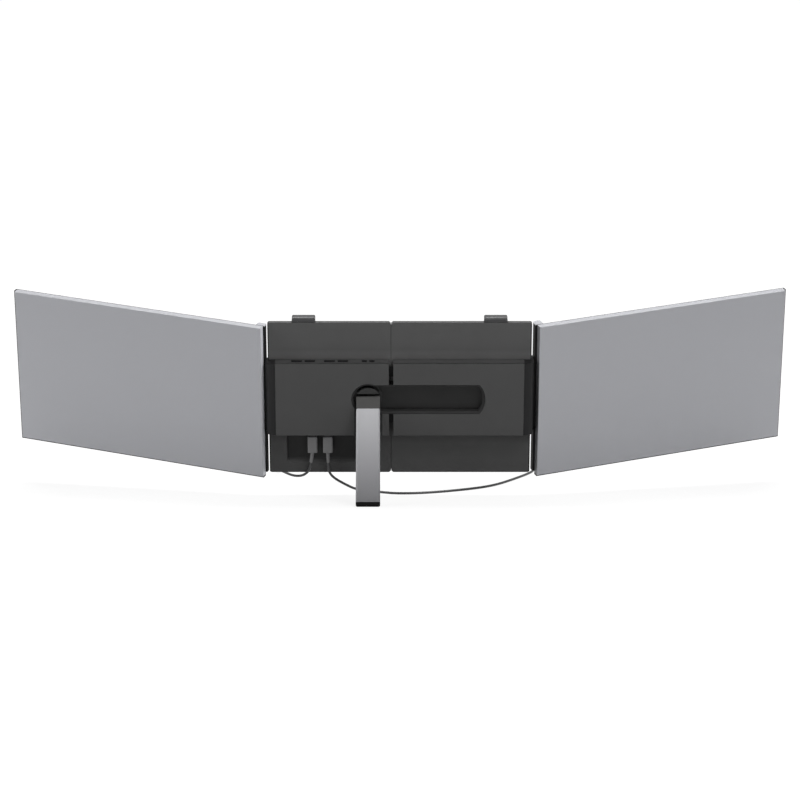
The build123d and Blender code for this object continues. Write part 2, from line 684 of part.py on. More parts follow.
def hinge_pin(side):
    low, high = (HOUSING_LOW - HINGE_PIN_REACH, HOUSING_HIGH + HINGE_PIN_REACH)
    pin = upright(hinge_x(side), HINGE_Y[side], HINGE_PIN_R, low, high)
    pin = chamfer(pin.edges(), 0.3)
    return mirrored(pin, side)


def screen_box(side, u, w, z):
    """A box in a screen's own frame, whose origin is the hinge axis.

    u runs out from the screen's inner edge, w back (negative) from its face.
    """
    inset, front = SCREEN_INSET[side], HINGE_FRONT[side]
    return block((u[0] - inset, u[1] - inset), (w[0] - front, w[1] - front), z)


def set_screen(side, piece):
    """Put a screen's piece on its hinge, swung to the rest angle."""
    placed = Pos(hinge_x(side), HINGE_Y[side], 0) * Rot(0, 0, SCREEN_OPEN) * piece
    return mirrored(placed, side)


def screen_span():
    return SCREEN_LOW, PLATE_TALL - SCREEN_DROP


def back_cover(side):
    """Silver back, inset at its bottom and outer edges, and the cap on its hinge rail."""
    low, high = screen_span()
    deep = -SCREEN_THICK
    cover = screen_box(side, (0, SCREEN_WIDE - RIM_SHOW), (deep, -BEZEL_THICK - 0.1),
                       (low + RIM_SHOW, high))
    back = cover.faces().sort_by(Axis.Y)[0]
    cover = fillet(back.edges(), COVER_EDGE)
    cover -= screen_box(side, (COVER_WALL, SCREEN_WIDE - RIM_SHOW - COVER_WALL),
                        (deep + COVER_WALL, 1), (low + RIM_SHOW + COVER_WALL, high - COVER_WALL))
    cap = rail_bar(side, HINGE_RAIL_HIGH, HINGE_RAIL_HIGH + RAIL_CAP)
    return Compound([set_screen(side, cover), set_screen(side, cap)])


def front_frame(side):
    """Dark bezel round the display, with the rim that shows beside the silver back."""
    low, high = screen_span()
    step = -SCREEN_THICK + RIM_STEP
    frame = screen_box(side, (0, SCREEN_WIDE), (-BEZEL_THICK, 0), (low, high))
    frame += screen_box(side, (SCREEN_WIDE - RIM_SHOW + 0.1, SCREEN_WIDE), (step, 0), (low, high))
    frame += screen_box(side, (0, SCREEN_WIDE), (step, 0), (low, low + RIM_SHOW - 0.1))
    outer = frame.edges().filter_by(Axis.Z).group_by(Axis.X)[-1]
    frame = fillet(outer, 0.8)
    frame -= screen_box(side, (BEZEL_WIDE, SCREEN_WIDE - BEZEL_WIDE), (step - 1, 1),
                        (low + CHIN_TALL, high - BEZEL_WIDE - 0.8))
    return set_screen(side, frame)


def lcd_panel(side):
    low, high = screen_span()
    lcd = screen_box(side, (COVER_WALL + 0.4, SCREEN_WIDE - RIM_SHOW - COVER_WALL - 0.4),
                     (-BEZEL_THICK - 0.15 - LCD_THICK, -BEZEL_THICK - 0.15),
                     (low + CHIN_TALL - 4, high - COVER_WALL - 0.6))
    return set_screen(side, lcd)


def driver_board(side):
    """Display's driver board, behind the panel in the chin."""
    low, high = screen_span()
    back = -SCREEN_THICK + COVER_WALL
    bottom = low + DRIVER_LOW
    board = screen_box(side, (DRIVER_LEFT, DRIVER_LEFT + DRIVER_LONG), (back + 0.6, back + 1.8),
                       (bottom, bottom + DRIVER_TALL))
    wide, tall = DRIVER_CHIP
    for along in DRIVER_CHIPS:
        start = DRIVER_LEFT + along
        board += screen_box(side, (start, start + wide), (back + 1.6, back + 2.4),
                            around(bottom + DRIVER_TALL / 2, tall / 2))
    return set_screen(side, board)


def hinge_rail_spans():
    """Z spans of the two rail segments, above and below the hinge block."""
    return [(HINGE_RAIL_LOW, HOUSING_LOW), (HOUSING_HIGH, HINGE_RAIL_HIGH)]


def rail_bar(side, low, high):
    """Bar along the screen's inner edge, round its front, before its hinge is bored."""
    bar = block((-RAIL_INNER[side], RAIL_OUTER), (-HINGE_FRONT[side], RAIL_COVER), (low, high))
    front_edges = bar.edges().filter_by(Axis.Z).group_by(Axis.Y)[-1].sort_by(Axis.X)
    bar = fillet(front_edges[0], RAIL_ROUND[side])
    outer_edge = bar.edges().filter_by(Axis.Z).group_by(Axis.X)[-1].sort_by(Axis.Y)[-1]
    return fillet(outer_edge, RAIL_FAR_ROUND)


def hinge_rails(side):
    rails = []
    for low, high in hinge_rail_spans():
        rail = rail_bar(side, low, high)
        rail -= upright(0, 0, SLEEVE_R + FIT_GAP / 4, *sleeve_span(low, high))
        rail -= upright(0, 0, HINGE_PIN_R + PIN_GAP, *pin_span(low, high))
        rails.append(set_screen(side, rail))
    return Compound(rails)


def pin_span(low, high):
    """Where the pin runs in a rail segment, with room past its end."""
    if low < HOUSING_LOW:
        return HOUSING_LOW - HINGE_PIN_REACH - 1, HOUSING_LOW + 1
    return HOUSING_HIGH - 1, HOUSING_HIGH + HINGE_PIN_REACH + 1


def sleeve_span(low, high):
    """Where a friction sleeve sits in a rail segment."""
    if low < HOUSING_LOW:
        end = HOUSING_LOW - SLEEVE_START
        return end - SLEEVE_LONG, end
    start = HOUSING_HIGH + SLEEVE_START
    return start, start + SLEEVE_LONG


def friction_sleeves(side):
    """Split sleeves that grip the pin and hold a screen where it is set."""
    sleeves = []
    for low, high in hinge_rail_spans():
        span = sleeve_span(low, high)
        sleeve = upright(0, 0, SLEEVE_R, span[0] + 0.1, span[1] - 0.1)
        sleeve -= upright(0, 0, HINGE_PIN_R + PIN_GAP, span[0] - 1, span[1] + 1)
        sleeve -= block((0, SLEEVE_R + 1), (-0.25, 0.25), (span[0] - 1, span[1] + 1))
        sleeves.append(set_screen(side, sleeve))
    return Compound(sleeves)


# ---- Kickstand --------------------------------------------------------------------------------
def stand_axis_y():
    return behind(LEG_CENTRE)


def turntable():
    base_back = behind(FLOOR_HEIGHT + 0.3 + DISC_BASE_THICK)
    base_front = behind(FLOOR_HEIGHT + 0.3)
    disc = through(STAND_X, STAND_Z, DISC_BASE_R, base_back, base_front)
    moon = through(STAND_X, STAND_Z, DISC_R, behind(DISC_TOP), base_front)
    moon &= block(around(STAND_X, DISC_R + 1), (behind(DISC_TOP), base_front),
                  (STAND_Z + DISC_CHORD, STAND_Z + DISC_R + 1))
    moon = chamfer(moon.faces().sort_by(Axis.Y)[0].edges(), 0.5)
    lug = crosswise(STAND_Z, stand_axis_y(), LUG_R, STAND_X - LUG_HALF, STAND_X + LUG_HALF)
    lug += block(around(STAND_X, LUG_HALF), (stand_axis_y(), base_front), around(STAND_Z, LUG_R))
    spigot = through(STAND_X, STAND_Z, SPIGOT_R, base_front - 0.1, behind(0.9))
    ring = through(STAND_X, STAND_Z, CLIP_RING_R, behind(2.2), behind(1.2))
    table = disc + moon + lug + spigot + ring
    table -= crosswise(STAND_Z, stand_axis_y(), TILT_PIN_R + PIN_GAP, STAND_X - 20, STAND_X + 20)
    return table


def tilted(piece):
    """Swing a leg piece, drawn closed and pointing down, out to its rest angle."""
    axis = Axis((STAND_X, stand_axis_y(), STAND_Z), (1, 0, 0))
    return piece.rotate(axis, -STAND_OPEN)


def leg_half(distance):
    """Half width of the leg at a distance from its tilt axis."""
    share = (distance - KNUCKLE_LONG) / (LEG_LONG - KNUCKLE_LONG)
    return (LEG_WIDE + (LEG_FOOT_WIDE - LEG_WIDE) * max(share, 0)) / 2


def leg_slab(start, end, inset, back, front):
    """Tapered slab of the leg between two distances from the axis."""
    corners = [(STAND_X - leg_half(start) + inset, STAND_Z - start),
               (STAND_X + leg_half(start) - inset, STAND_Z - start),
               (STAND_X + leg_half(end) - inset, STAND_Z - end),
               (STAND_X - leg_half(end) + inset, STAND_Z - end)]
    face = make_face(Polyline(*[(x, back, z) for x, z in corners], close=True))
    return extrude(face, amount=front - back, dir=(0, 1, 0))


def leg_faces():
    return stand_axis_y() - LEG_THICK / 2, stand_axis_y() + LEG_THICK / 2


def knuckle():
    back, front = leg_faces()
    half = LEG_WIDE / 2
    body = block(around(STAND_X, half), (back, front), (STAND_Z - KNUCKLE_LONG, STAND_Z))
    body += crosswise(STAND_Z, stand_axis_y(), LEG_THICK / 2, STAND_X - half, STAND_X + half)
    body -= block(around(STAND_X, LUG_HALF + 0.3), (back + KNUCKLE_SKIN, front + 1),
                  (STAND_Z - LUG_R - 1.2, STAND_Z + LEG_THICK))
    tongue = block(around(STAND_X, half - LEG_WALL - 0.1), (back + LEG_WALL + 0.1, front),
                   (STAND_Z - KNUCKLE_LONG - KNUCKLE_TONGUE, STAND_Z - KNUCKLE_LONG))
    body += tongue
    body -= crosswise(STAND_Z, stand_axis_y(), TILT_PIN_R, STAND_X - 13, STAND_X + 13)
    return tilted(body)


def tilt_pin():
    pin = crosswise(STAND_Z, stand_axis_y(), TILT_PIN_R, STAND_X - 12.9, STAND_X + 12.9)
    return tilted(pin)


def stand_leg():
    """Formed aluminium leg, open towards the plate."""
    back, front = leg_faces()
    end = LEG_LONG - FOOT_LONG
    leg = leg_slab(KNUCKLE_LONG + 0.1, end, 0, back, front)
    rear_face = leg.faces().sort_by(Axis.Y)[0]
    sides = [edge for edge in rear_face.edges() if abs(edge.center().X - STAND_X) > 5]
    leg = chamfer(sides, LEG_BEVEL)
    leg -= leg_slab(KNUCKLE_LONG - 1, end + 1, LEG_WALL, back + LEG_WALL, front + 1)
    return tilted(leg)


def stand_foot():
    back, front = leg_faces()
    end = LEG_LONG - FOOT_LONG
    foot = leg_slab(end + 0.1, LEG_LONG, 0, back, front)
    bottom = foot.faces().sort_by(Axis.Z)[0]
    long_edges = [edge for edge in bottom.edges() if abs(edge.center().X - STAND_X) < 5]
    foot = fillet(long_edges, FOOT_ROUND)
    plan = leg_slab(end, LEG_LONG, 0, back - 1, front + 1)
    foot &= fillet(plan.edges().filter_by(Axis.Y).group_by(Axis.Z)[0], FOOT_CORNER)
    foot += leg_slab(end - 8, end + 0.2, LEG_WALL + 0.1, back + LEG_WALL + 0.1, front - 0.5)
    return tilted(foot)


# ---- Top clips ----------------------------------------------------------------------------------
def blade_back():
    return REAR + SKIN + (PLATE_THICK - 2 * SKIN - BLADE_THICK) / 2


def blade_front():
    return blade_back() + BLADE_THICK


def top_clip(side):
    """Hook over the lid's edge, on a blade that slides in the plate."""
    under = PLATE_TALL + MOVE_GAP
    lip_back = CLIP_FRONT - CLIP_LIP
    roof = CLIP_TOP - CLIP_ROOF
    step = 0.4
    outline = [(REAR + 0.4, under), (REAR + 0.4, CLIP_TOP), (CLIP_FRONT, CLIP_TOP),
               (CLIP_FRONT, CLIP_LIP_LOW), (lip_back, CLIP_LIP_LOW), (lip_back, roof),
               (step, roof), (step, under)]
    left, right = around(CLIP_X, CLIP_WIDE / 2)
    hook = prism_x(outline, left, right)
    ridges = hook.edges().filter_by(Axis.X).group_by(Axis.Z)[-1].sort_by(Axis.Y)
    hook = fillet(ridges[0], CLIP_ROUND)
    front = hook.edges().filter_by(Axis.X).group_by(Axis.Z)[-1].sort_by(Axis.Y)[-1]
    hook = fillet(front, CLIP_LIP - 0.3)
    outline = Pos(CLIP_X, CLIP_TOP / 2) * Rectangle(CLIP_WIDE, CLIP_TOP)
    outline = fillet(outline.vertices().group_by(Axis.Y)[-1], CLIP_CORNER)
    hook &= prism_y(outline, REAR, CLIP_FRONT)
    hook += block(around(CLIP_X, BLADE_WIDE / 2), (blade_back(), blade_front()),
                  (BLADE_LOW, under + 1))
    return mirrored(hook, side)


def clip_pad(side):
    lip_back = CLIP_FRONT - CLIP_LIP
    pad = block(around(CLIP_X, CLIP_WIDE / 2 - 2), (lip_back - CLIP_PAD, lip_back),
                (CLIP_LIP_LOW + 0.6, CLIP_TOP - CLIP_ROOF - 0.6))
    return mirrored(pad, side)


def clip_spring(side):
    """Rolled strip spring on its boss, at the lower end of the blade's channel."""
    middle = (blade_back() + blade_front()) / 2
    back, front = around(middle, SPRING_WIDE / 2)
    roll = through(CLIP_X, SPRING_Z, SPRING_R, back, front)
    roll -= through(CLIP_X, SPRING_Z, SPRING_R - SPRING_COIL, back - 1, front + 1)
    return mirrored(roll, side)


# ---- Cables -------------------------------------------------------------------------------------
def plug_grip(pull):
    """Moulded grip standing on Z = 0, with its neck above and its tapered relief below."""
    tall = PLUG_HIGH - PLUG_LOW
    grip = block(around(0, PLUG_WIDE / 2), around(0, PLUG_DEEP / 2), (0, tall))
    grip = fillet(grip.edges().filter_by(Axis.Z), PLUG_DEEP / 4)
    neck = block(around(0, NECK_WIDE / 2), around(0, NECK_DEEP / 2), (tall - 1, tall + NECK_LONG))
    grip += fillet(neck.edges().filter_by(Axis.Z), NECK_DEEP / 4)
    relief = Pos(0, 0, (1 - RELIEF_LONG) / 2) * Cone(RELIEF_R[1], RELIEF_R[0], RELIEF_LONG + 1)
    return grip + Rot(0, pull, 0) * relief


def plug_tip():
    """Metal tongue housing above the neck of a grip that stands on Z = 0."""
    tall = PLUG_HIGH - PLUG_LOW
    tip = block(around(0, TIP_WIDE / 2), around(0, TIP_TALL / 2),
                (tall + NECK_LONG, tall + TIP_LONG))
    tip = fillet(tip.edges().filter_by(Axis.Z), TIP_TALL / 2 - 0.1)
    return tip - block(around(0, TIP_WIDE / 2 - 0.4), around(0, TIP_TALL / 2 - 0.4),
                       (tall + TIP_LONG - 5.0, tall + TIP_LONG + 1))


def in_port(name, piece):
    """Stand a plug's piece under its port."""
    return Pos(PORT_X[name], behind(PORT_CENTRE), PLUG_LOW) * piece


def corner_radii(route):
    """As large an arc at each corner as its two runs allow."""
    points = [Vector(*point) for point in route]
    radii = []
    for before, corner, after in zip(points, points[1:], points[2:]):
        turn = (corner - before).get_angle(after - corner)
        run = min((corner - before).length, (after - corner).length)
        radii.append(0.45 * run / tan(radians(turn / 2)))
    return radii


def cord(name, route):
    radii = corner_radii(route)
    path = FilletPolyline(*route, radius=radii)
    start = Plane(origin=path @ 0, z_dir=path % 0)
    tube = sweep(start * Circle(CORD_D / 2), path=path)
    wanted = pi * (CORD_D / 2) ** 2 * path.length
    print(name, "bend radii mm:", [round(radius, 1) for radius in radii])
    print(name, "tube length mm:", round(path.length, 1),
          "volume over section x length:", round(tube.volume / wanted, 4))
    return tube


def coil_way(name):
    """+1 where the cord runs to the right as it meets its coil, -1 where to the left."""
    before, end = CORD_ROUTE[name][-2:]
    return 1 if end[0] > before[0] else -1


def coil_centre(name):
    outermost = COIL_MID_R[name] + (COIL_COLUMNS[name] - 1) * CORD_D / 2
    end = CORD_ROUTE[name][-1]
    return end[0] + coil_way(name) * COIL_LEAD, end[1] - outermost, end[1]


def coil(name):
    """Outer shape of the stowed turns, with the straight leads to the cord and the plug."""
    x, y, lead_y = coil_centre(name)
    way = coil_way(name)
    band = COIL_COLUMNS[name] * CORD_D / 2
    tall = COIL_LAYERS * CORD_D
    ring = Cylinder(COIL_MID_R[name] + band, tall) - Cylinder(COIL_MID_R[name] - band, tall + 2)
    ring = Pos(x, y, TABLE_Z + tall / 2) * fillet(ring.edges(), CORD_D / 2 - 0.2)
    lead = sorted((x, x - way * COIL_LEAD))
    tail = sorted((x, x + way * COIL_TAIL))
    ring += crosswise(CORD_Z, lead_y, CORD_D / 2, *lead)
    return ring + crosswise(TABLE_Z + PLUG_DEEP / 2, lead_y, CORD_D / 2, *tail)


def on_table(name, piece):
    """Lay a plug's piece on the table, its relief against the coil's tail."""
    x, y, lead_y = coil_centre(name)
    way = coil_way(name)
    start = x + way * (COIL_TAIL + RELIEF_LONG)
    return Pos(start, lead_y, TABLE_Z + PLUG_DEEP / 2) * Rot(0, way * 90, 0) * Rot(0, 0, 90) \
        * piece


# ---- Assembly -----------------------------------------------------------------------------------
def plate_pieces():
    """Everything that takes the plate's lean."""
    pieces = {}
    for side in ("left", "right"):
        pieces[f"{side}_plate"] = plate(side)
        pieces[f"{side}_front_cover"] = front_cover(side)
        pieces[f"{side}_lid_pads"] = lid_pads(side)
        pieces[f"{side}_screws"] = cover_screws(side)
        pieces[f"{side}_hinge_block"] = hinge_block(side)
        pieces[f"{side}_hinge_pin"] = hinge_pin(side)
        pieces[f"{side}_clip"] = top_clip(side)
        pieces[f"{side}_clip_pad"] = clip_pad(side)
        pieces[f"{side}_clip_spring"] = clip_spring(side)
        pieces[f"{side}_back_cover"] = back_cover(side)
        pieces[f"{side}_front_frame"] = front_frame(side)
        pieces[f"{side}_lcd_panel"] = lcd_panel(side)
        pieces[f"{side}_driver_board"] = driver_board(side)
        pieces[f"{side}_hinge_rails"] = hinge_rails(side)
        pieces[f"{side}_friction_sleeves"] = friction_sleeves(side)
    pieces["left_housing"] = left_housing()
    pieces["right_housing"] = right_housing()
    pieces["kickstand_tray"] = kickstand_tray()
    pieces["port_bay"] = port_bay()
    pieces["slide_guides"] = slide_guides()
    pieces["slide_rails"] = slide_rails()
    pieces["hub_board"] = hub_board()
    pieces["usb_c_ports"] = usb_c_ports()
    pieces["key_board"] = key_board()
    for name in KEY_PAIRS:
        pieces[f"{name}_rocker"] = rocker(name)
    pieces["turntable"] = turntable()
    pieces["knuckle"] = knuckle()
    pieces["tilt_pin"] = tilt_pin()
    pieces["stand_leg"] = stand_leg()
    pieces["stand_foot"] = stand_foot()
    for name in PORT_X:
        pieces[f"{name}_hub_plug"] = in_port(name, plug_grip(RELIEF_PULL[name]))
        pieces[f"{name}_hub_tip"] = in_port(name, plug_tip())
    return pieces


def table_pieces():
    """The loose cables, which lie as gravity leaves them."""
    pieces = {}
    for name, route in CORD_ROUTE.items():
        pieces[f"{name}_cord"] = cord(name, route)
        pieces[f"{name}_coil"] = coil(name)
        pieces[f"{name}_end_plug"] = on_table(name, plug_grip(0))
        pieces[f"{name}_end_tip"] = on_table(name, plug_tip())
    return pieces


def main():
    os.makedirs("parts", exist_ok=True)
    lean = Rot(LEAN, 0, 0)
    for name, piece in plate_pieces().items():
        export_step(lean * piece, f"parts/{name}.step")
    for name, piece in table_pieces().items():
        export_step(piece, f"parts/{name}.step")


main()
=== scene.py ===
import json
from math import cos, pi, radians, sin

import bpy
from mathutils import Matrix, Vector

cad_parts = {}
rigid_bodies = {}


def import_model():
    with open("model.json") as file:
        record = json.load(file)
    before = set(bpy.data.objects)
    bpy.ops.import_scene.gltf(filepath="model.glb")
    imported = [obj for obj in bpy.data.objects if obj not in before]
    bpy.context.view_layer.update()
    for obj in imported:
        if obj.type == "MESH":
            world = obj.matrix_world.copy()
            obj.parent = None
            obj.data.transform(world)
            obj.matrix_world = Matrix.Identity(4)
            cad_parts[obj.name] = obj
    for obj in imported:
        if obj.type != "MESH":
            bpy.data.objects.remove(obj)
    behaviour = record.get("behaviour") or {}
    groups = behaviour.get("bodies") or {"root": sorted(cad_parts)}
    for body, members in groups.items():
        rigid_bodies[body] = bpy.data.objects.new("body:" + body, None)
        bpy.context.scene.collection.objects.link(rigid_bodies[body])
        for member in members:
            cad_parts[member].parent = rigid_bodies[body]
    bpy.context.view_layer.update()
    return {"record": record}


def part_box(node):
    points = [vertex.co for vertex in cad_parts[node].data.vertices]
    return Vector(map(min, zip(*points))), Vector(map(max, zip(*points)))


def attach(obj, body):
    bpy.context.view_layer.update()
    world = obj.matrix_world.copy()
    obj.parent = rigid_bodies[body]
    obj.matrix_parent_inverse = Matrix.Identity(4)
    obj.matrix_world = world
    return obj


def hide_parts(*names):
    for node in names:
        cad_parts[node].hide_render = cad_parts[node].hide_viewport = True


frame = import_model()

MM = 0.001
RECORD = frame["record"]


# ---- Frame: the plate's own directions, from the record -----------------------------------
def joint(name):
    return next(item for item in RECORD["behaviour"]["joints"] if item["name"] == name)


RIGHT = Vector((1, 0, 0))
PLATE_UP = Vector(joint("left_clip_pull")["axis"]).normalized()
TABLE_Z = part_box("cable_1_coil")[0][2]


# ---- Camera -------------------------------------------------------------------------------
FOCAL_PX = 3200.0
IMAGE_PX = 800.0
PRINCIPAL_X_PX = 399.65
SENSOR_MM = 36.0
CAMERA_AT = Vector((0.0, -3.75834, 0.65973))
CAMERA_DOWN = 8.70       # degrees below the horizon


def make_camera():
    data = bpy.data.cameras.new("camera")
    data.sensor_width = SENSOR_MM
    data.lens = FOCAL_PX / IMAGE_PX * SENSOR_MM
    data.shift_x = (IMAGE_PX / 2 - PRINCIPAL_X_PX) / IMAGE_PX
    camera = bpy.data.objects.new("camera", data)
    camera.location = CAMERA_AT
    camera.rotation_euler = (radians(90 - CAMERA_DOWN), 0, 0)
    bpy.context.collection.objects.link(camera)
    bpy.context.scene.camera = camera


# ---- Studio -------------------------------------------------------------------------------
AMBIENT = 0.08
FLOOR_HALF = 40.0
FLOOR_COLOR = (0.72, 0.72, 0.72)
FLOOR_GLOW = (0.87, 1.0)         # as the lens and reflections see it, near the part and far
FLOOR_REACH = (0.8, 2.6)         # metres from the part over which it changes
FLOOR_SHADE = 0.13               # how strongly it shows shadows
LIGHTS_AIM = Vector((0, 0, 0.1))
LIGHTS = (                       # name, place, width and height in metres, watts
    ("high right softbox", (1.6, -1.8, 2.6), 2.0, 1.2, 82.0),
    ("left side", (-2.8, -0.9, 1.1), 1.2, 1.4, 42.0),
    ("top softbox", (0.0, 0.6, 2.6), 2.4, 1.0, 92.0))


def seen_directly(nodes, links):
    """1 for rays from the lens, from glossy surfaces and through clear ones, 0 for others."""
    path = nodes.new("ShaderNodeLightPath")
    total = path.outputs["Is Camera Ray"]
    for kind in ("Is Glossy Ray", "Is Transmission Ray"):
        larger = nodes.new("ShaderNodeMath")
        larger.operation = "MAXIMUM"
        links.new(total, larger.inputs[0])
        links.new(path.outputs[kind], larger.inputs[1])
        total = larger.outputs[0]
    return total


def make_world():
    """Plain white where it is seen, softer as a light."""
    world = bpy.data.worlds.new("studio")
    bpy.context.scene.world = world
    world.use_nodes = True
    nodes, links = world.node_tree.nodes, world.node_tree.links
    nodes.clear()
    white = nodes.new("ShaderNodeBackground")
    soft = nodes.new("ShaderNodeBackground")
    soft.inputs["Strength"].default_value = AMBIENT
    mix = nodes.new("ShaderNodeMixShader")
    links.new(seen_directly(nodes, links), mix.inputs[0])
    links.new(soft.outputs[0], mix.inputs[1])
    links.new(white.outputs[0], mix.inputs[2])
    output = nodes.new("ShaderNodeOutputWorld")
    links.new(mix.outputs[0], output.inputs["Surface"])


def floor_material():
    """A pale floor that glows white where it is seen and keeps a faint shadow."""
    material = bpy.data.materials.new("pale floor")
    material.use_nodes = True
    nodes, links = material.node_tree.nodes, material.node_tree.links
    nodes.clear()
    plain = nodes.new("ShaderNodeBsdfDiffuse")
    plain.inputs["Color"].default_value = (*FLOOR_COLOR, 1)
    shade = nodes.new("ShaderNodeBsdfDiffuse")
    shade.inputs["Color"].default_value = (FLOOR_SHADE, FLOOR_SHADE, FLOOR_SHADE, 1)
    glow = nodes.new("ShaderNodeEmission")
    place = nodes.new("ShaderNodeTexCoord")
    reach = nodes.new("ShaderNodeVectorMath")
    reach.operation = "LENGTH"
    ramp = nodes.new("ShaderNodeMapRange")
    ramp.inputs["From Min"].default_value, ramp.inputs["From Max"].default_value = FLOOR_REACH
    ramp.inputs["To Min"].default_value, ramp.inputs["To Max"].default_value = FLOOR_GLOW
    links.new(place.outputs["Object"], reach.inputs[0])
    links.new(reach.outputs["Value"], ramp.inputs["Value"])
    links.new(ramp.outputs["Result"], glow.inputs["Strength"])
    pale = nodes.new("ShaderNodeAddShader")
    mix = nodes.new("ShaderNodeMixShader")
    output = nodes.new("ShaderNodeOutputMaterial")
    links.new(glow.outputs[0], pale.inputs[0])
    links.new(shade.outputs[0], pale.inputs[1])
    links.new(seen_directly(nodes, links), mix.inputs[0])
    links.new(plain.outputs[0], mix.inputs[1])
    links.new(pale.outputs[0], mix.inputs[2])
    links.new(mix.outputs[0], output.inputs["Surface"])
    return material


def make_floor():
    mesh = bpy.data.meshes.new("floor")
    half = FLOOR_HALF
    corners = [(-half, -half, TABLE_Z), (half, -half, TABLE_Z), (half, half, TABLE_Z),
               (-half, half, TABLE_Z)]
    mesh.from_pydata(corners, [], [(0, 1, 2, 3)])
    floor = bpy.data.objects.new("floor", mesh)
    bpy.context.collection.objects.link(floor)
    mesh.materials.append(floor_material())


def area_light(name, at, width, height, power):
    data = bpy.data.lights.new(name, "AREA")
    data.shape = "RECTANGLE"
    data.size = width
    data.size_y = height
    data.energy = power
    light = bpy.data.objects.new(name, data)
    light.location = at
    light.rotation_euler = (LIGHTS_AIM - Vector(at)).to_track_quat("-Z", "Y").to_euler()
    bpy.context.collection.objects.link(light)


def make_lights():
    for light in LIGHTS:
        area_light(*light)


# ---- Materials ----------------------------------------------------------------------------
NOISE_RANGE = (0.3, 0.7)         # where most of a noise texture's values lie
OPEN_RANGE = (0.35, 0.8)         # openness of a crevice at which it is darkest, and plain
CREVICE_SHADE = 0.25              # painted shade: tone left in the deepest crevice
CREVICE_SAMPLES = 8
EDGE_SAMPLES = 4

# Tones that stand in for light the studio doesn't give. Heights are in mm up the plate.
PLATE_PAINTED_LIGHT_AND_SHADE = (((110.0, 80.0), 0.36), ((47.0, 38.0), 1.3), ((160.0, 146.0), 1.8))
PLATE_EDGE_BAND = (1.6, 1.0)     # mm in from the plate's two ends
PLATE_EDGE_PAINTED_SHADE = 0.3
COVER_HEIGHTS = (230.0, -20.0)
COVER_FOOT_PAINTED_LIGHT = 1.14
WALL_HEIGHTS = (190.0, -20.0)
WALL_FACING = (0.7, 0.85)        # how squarely a wall faces a side, where its tone sets in
WALL_PAINTED_LIGHT_AND_SHADE = ((RIGHT, 2.5, 1.3), (-RIGHT, 0.55, 0.35))   # side faced, tone at top, at foot
BAY_LIP = (19.0, 14.0)
BAY_LIP_PAINTED_HIGHLIGHT = 2.6
PLUG_NECK = (49.8, 49.9)
PLUG_NECK_PAINTED_SHADE = 0.2


